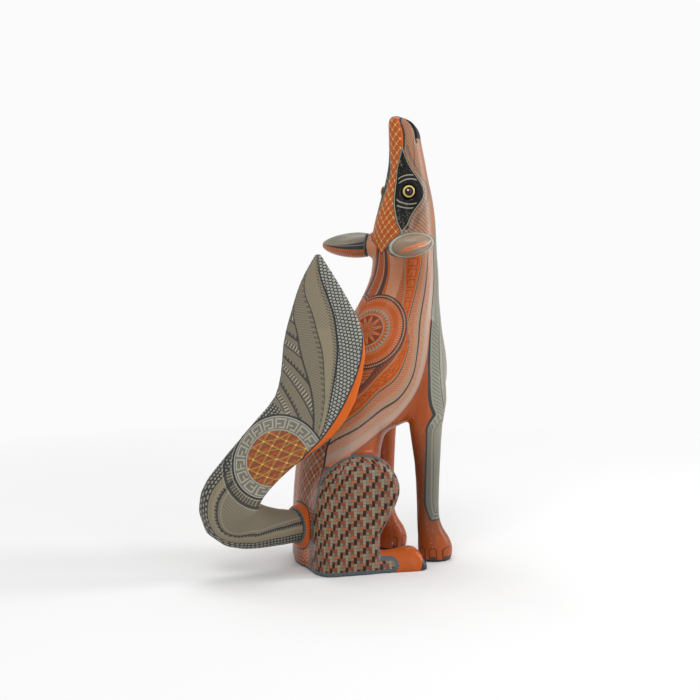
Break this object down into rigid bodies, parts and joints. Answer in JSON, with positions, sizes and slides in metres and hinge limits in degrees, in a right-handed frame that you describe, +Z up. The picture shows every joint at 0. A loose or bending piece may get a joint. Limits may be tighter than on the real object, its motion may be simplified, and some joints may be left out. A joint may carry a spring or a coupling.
{
  "type": "seated howling coyote figure",
  "caption": "Carved and painted wooden coyote sitting upright and howling, with pegged ears and a broad curled tail on its own peg.",
  "frame": {"origin": "middle of the figure's footprint box, on the surface that it sits on", "axes": "+X forward from the pelvis, +Y to the animal's left, +Z up from the base to the nose"},
  "size_m": [0.214, 0.1218, 0.358],
  "materials": {
    "painted_wood": "fine brush-painted pattern under a satin varnish",
    "bare_wood": "plain sanded softwood dowel",
    "eye": "polished domed resin, black pupil in an amber ring"
  },
  "bodies": {
    "carving": {"body": "painted_wood", "right_eye": "eye", "left_eye": "eye"},
    "tail_dowel": {"tail_peg": "bare_wood"},
    "tail": {"tail": "painted_wood"},
    "right_ear_dowel": {"right_ear_peg": "bare_wood"},
    "right_ear": {"right_ear": "painted_wood"},
    "left_ear_dowel": {"left_ear_peg": "bare_wood"},
    "left_ear": {"left_ear": "painted_wood"}
  },
  "joints": [
    {"name": "right_ear_pull", "type": "slide", "parent": "carving", "child": "right_ear_dowel", "axis": [-0.3256, -0.9455, 0], "range_m": [0, 0.01]},
    {"name": "right_ear_turn", "type": "hinge", "parent": "right_ear_dowel", "child": "right_ear", "pos_m": [0.06121, -0.02373, 0.255], "axis": [-0.3256, -0.9455, 0], "range_deg": [-20, 20]},
    {"name": "left_ear_pull", "type": "slide", "parent": "carving", "child": "left_ear_dowel", "axis": [-0.8191, 0.5736, 0], "range_m": [0, 0.01]},
    {"name": "left_ear_turn", "type": "hinge", "parent": "left_ear_dowel", "child": "left_ear", "pos_m": [0.0464, 0.02184, 0.255], "axis": [-0.8191, 0.5736, 0], "range_deg": [-20, 20]},
    {"name": "tail_pull", "type": "slide", "parent": "carving", "child": "tail_dowel", "axis": [-0.9613, -0.2756, 0], "range_m": [0, 0.014]},
    {"name": "tail_turn", "type": "hinge", "parent": "tail_dowel", "child": "tail", "pos_m": [-0.02803, -0.00386, 0.0335], "axis": [-0.9613, -0.2756, 0], "range_deg": [-12, 4]}
  ]
}
